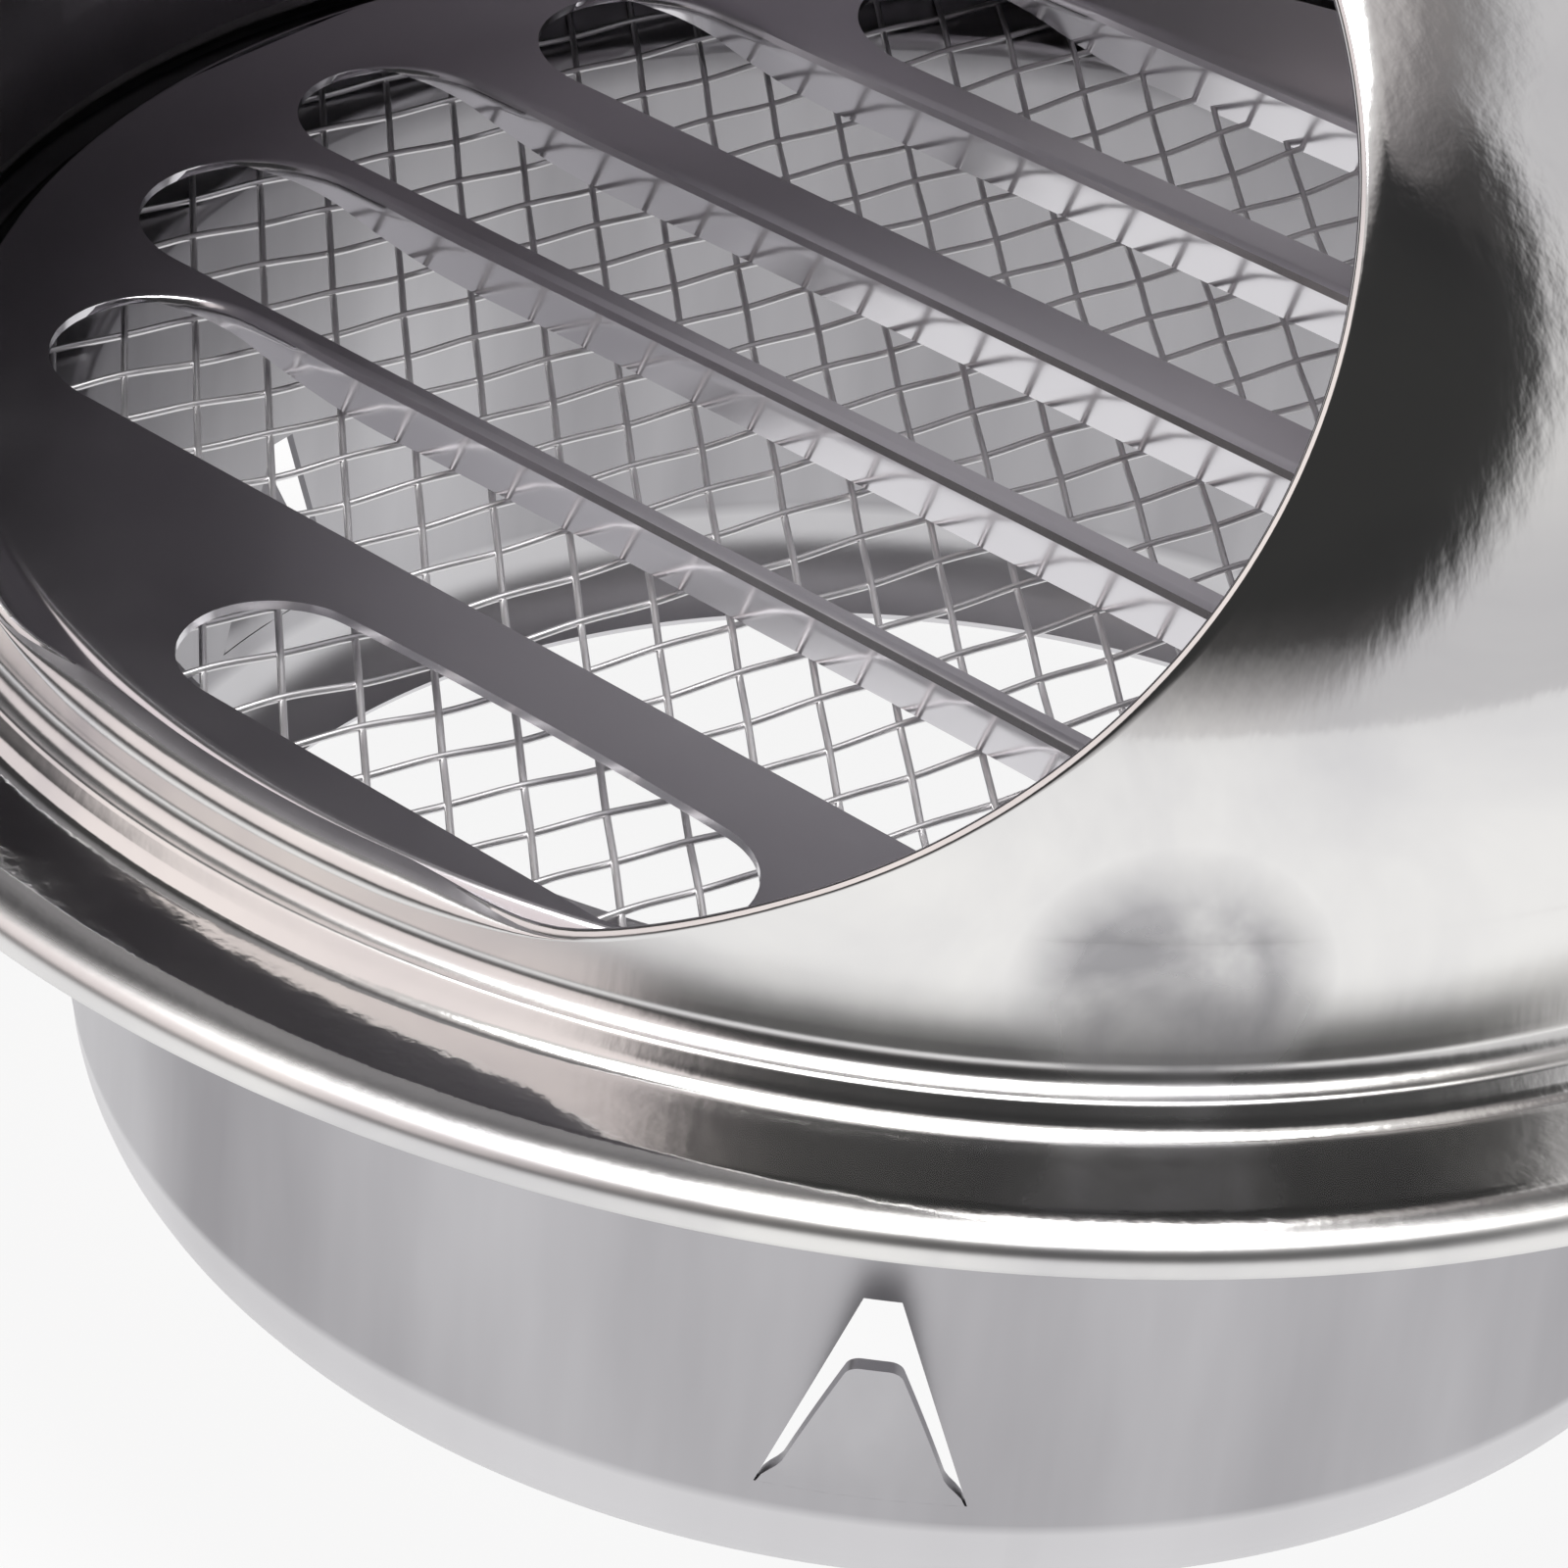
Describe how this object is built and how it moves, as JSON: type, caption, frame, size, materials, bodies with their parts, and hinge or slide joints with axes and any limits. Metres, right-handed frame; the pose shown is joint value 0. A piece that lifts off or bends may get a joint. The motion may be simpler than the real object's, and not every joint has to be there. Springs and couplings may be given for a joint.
{
  "type": "dryer vent cover",
  "caption": "Round hooded vent cover in polished steel with a slotted plate, insect screen, rolled flange and a duct spigot with spring tabs.",
  "frame": {"origin": "on the duct axis, in the plane of the wall that the rolled rim rests on", "axes": "+Z out of the wall along the duct axis toward the top of the hood, the hood's mouth faces -Y, the slots run along X"},
  "size_m": [0.138, 0.138, 0.095],
  "materials": {
    "polished_steel": "mirror polished",
    "satin_steel": "satin mill finish",
    "plate_steel": "bright rolled",
    "screen_wire": "drawn wire"
  },
  "bodies": {
    "root": {"hood": "polished_steel", "collar": "satin_steel", "louvre_plate": "plate_steel", "insect_screen": "screen_wire"}
  },
  "joints": []
}
